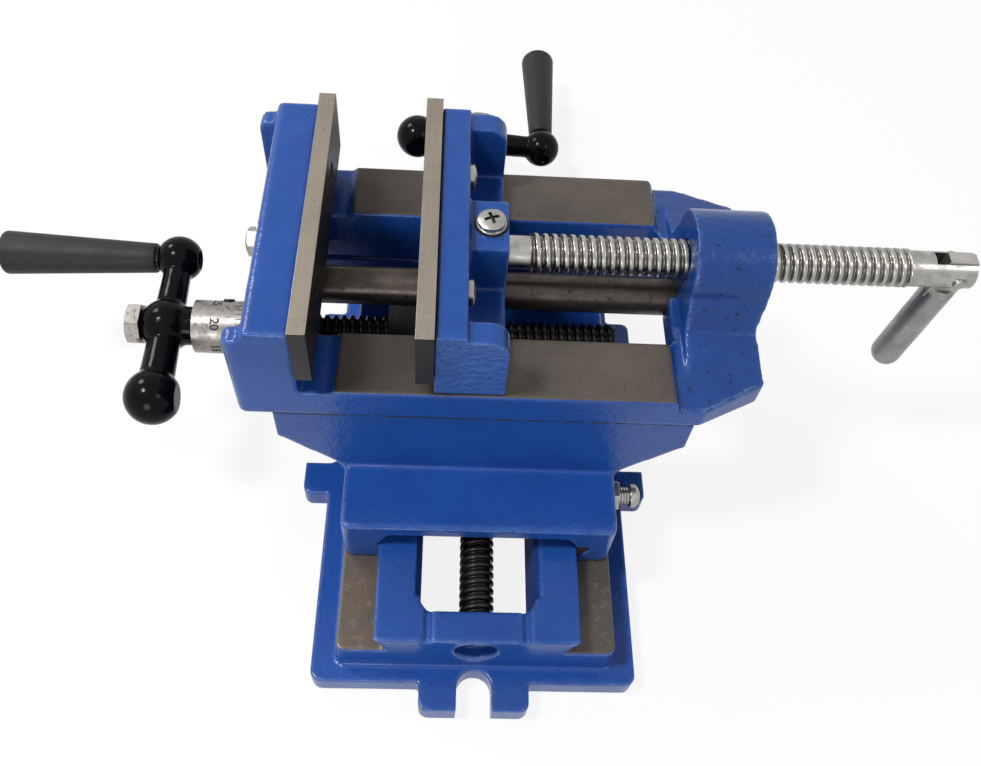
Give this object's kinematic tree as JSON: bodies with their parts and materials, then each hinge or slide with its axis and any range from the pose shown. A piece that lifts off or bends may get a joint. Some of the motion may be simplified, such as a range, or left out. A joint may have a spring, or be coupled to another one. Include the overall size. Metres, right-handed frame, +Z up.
{
  "type": "cross slide vise",
  "caption": "Drill press vise on two crossed dovetail slides: ball cranks feed it along and across, and a screw with a folding handle closes the jaws.",
  "frame": {"origin": "middle of the base's underside, on the machine table", "axes": "+Z up; +X along the jaw opening towards the folding handle; +Y to the back, along the cross feed screw to its crank"},
  "size_m": [0.3379, 0.3254, 0.126],
  "materials": {
    "blue_casting": "gloss",
    "ground_steel": "satin",
    "zinc_plate": "bright",
    "black_steel": "gloss",
    "oiled_steel": "oiled",
    "nut_iron": "matt",
    "bronze": "satin",
    "grip_plastic": "matt"
  },
  "bodies": {
    "base": {"base": "blue_casting", "cross_bush": "bronze"},
    "cross_feed": {"cross_screw": "oiled_steel", "cross_dial": "zinc_plate", "cross_dial_screw": "oiled_steel", "cross_crank": "black_steel", "cross_crank_bolt": "zinc_plate", "cross_grip_pin": "zinc_plate"},
    "cross_handle": {"cross_grip": "grip_plastic"},
    "saddle": {"saddle": "blue_casting", "cross_nut": "nut_iron", "cross_nut_bolts": "oiled_steel", "cross_gib": "bronze", "cross_gib_screws": "zinc_plate", "cross_gib_nuts": "zinc_plate", "table_nut": "nut_iron", "table_nut_bolts": "oiled_steel", "table_gib": "bronze", "table_gib_screws": "zinc_plate", "table_gib_nuts": "zinc_plate"},
    "vise": {"vise_body": "blue_casting", "table_bush": "bronze", "guide_rod": "ground_steel", "tie_bolt": "zinc_plate", "tie_washer": "zinc_plate", "fixed_jaw_plate": "ground_steel", "fixed_jaw_bolts": "zinc_plate"},
    "table_feed": {"table_screw": "oiled_steel", "table_dial": "zinc_plate", "table_dial_screw": "oiled_steel", "table_crank": "black_steel", "table_crank_bolt": "zinc_plate", "table_grip_pin": "zinc_plate"},
    "table_handle": {"table_grip": "grip_plastic"},
    "jaw": {"moving_jaw": "blue_casting", "moving_jaw_plate": "ground_steel", "moving_jaw_bolts": "zinc_plate", "keeper_screw": "zinc_plate", "keeper_washer": "zinc_plate"},
    "vise_feed": {"vise_screw": "zinc_plate", "handle_pin": "zinc_plate"},
    "fold_handle": {"folding_handle": "zinc_plate"}
  },
  "joints": [
    {"name": "cross_slide", "type": "slide", "parent": "base", "child": "saddle", "axis": [0, 1, 0], "range_m": [-0.033, 0.039]},
    {"name": "cross_crank_turn", "type": "hinge", "parent": "base", "child": "cross_feed", "pos_m": [0, 0.1083, 0.024], "axis": [0, 1, 0], "range_deg": [-4690, 3970]},
    {"name": "cross_grip_spin", "type": "hinge", "parent": "cross_feed", "child": "cross_handle", "pos_m": [0.02943, 0.15, 0.02199], "axis": [0, 1, 0], "continuous": true},
    {"name": "table_slide", "type": "slide", "parent": "saddle", "child": "vise", "axis": [1, 0, 0], "range_m": [-0.045, 0.027]},
    {"name": "table_crank_turn", "type": "hinge", "parent": "vise", "child": "table_feed", "pos_m": [-0.0845, -0.003, 0.06], "axis": [1, 0, 0], "range_deg": [-5410, 3250]},
    {"name": "table_grip_spin", "type": "hinge", "parent": "table_feed", "child": "table_handle", "pos_m": [-0.125, 0.02644, 0.0618], "axis": [1, 0, 0], "continuous": true},
    {"name": "jaw_slide", "type": "slide", "parent": "vise", "child": "jaw", "axis": [1, 0, 0], "range_m": [-0.03, 0.051]},
    {"name": "vise_screw_turn", "type": "hinge", "parent": "jaw", "child": "vise_feed", "pos_m": [0.005, -0.003, 0.107], "axis": [1, 0, 0], "range_deg": [-3610, 6130]},
    {"name": "handle_fold", "type": "hinge", "parent": "vise_feed", "child": "fold_handle", "pos_m": [0.1548, -0.003, 0.107], "axis": [0, 1, 0], "range_deg": [-205, 15]}
  ],
  "couplings": [
    {"joint": "cross_crank_turn", "follows": "cross_slide", "rad_per_m": -2094.4},
    {"joint": "table_crank_turn", "follows": "table_slide", "rad_per_m": 2094.4},
    {"joint": "vise_screw_turn", "follows": "jaw_slide", "rad_per_m": 2094.4}
  ]
}
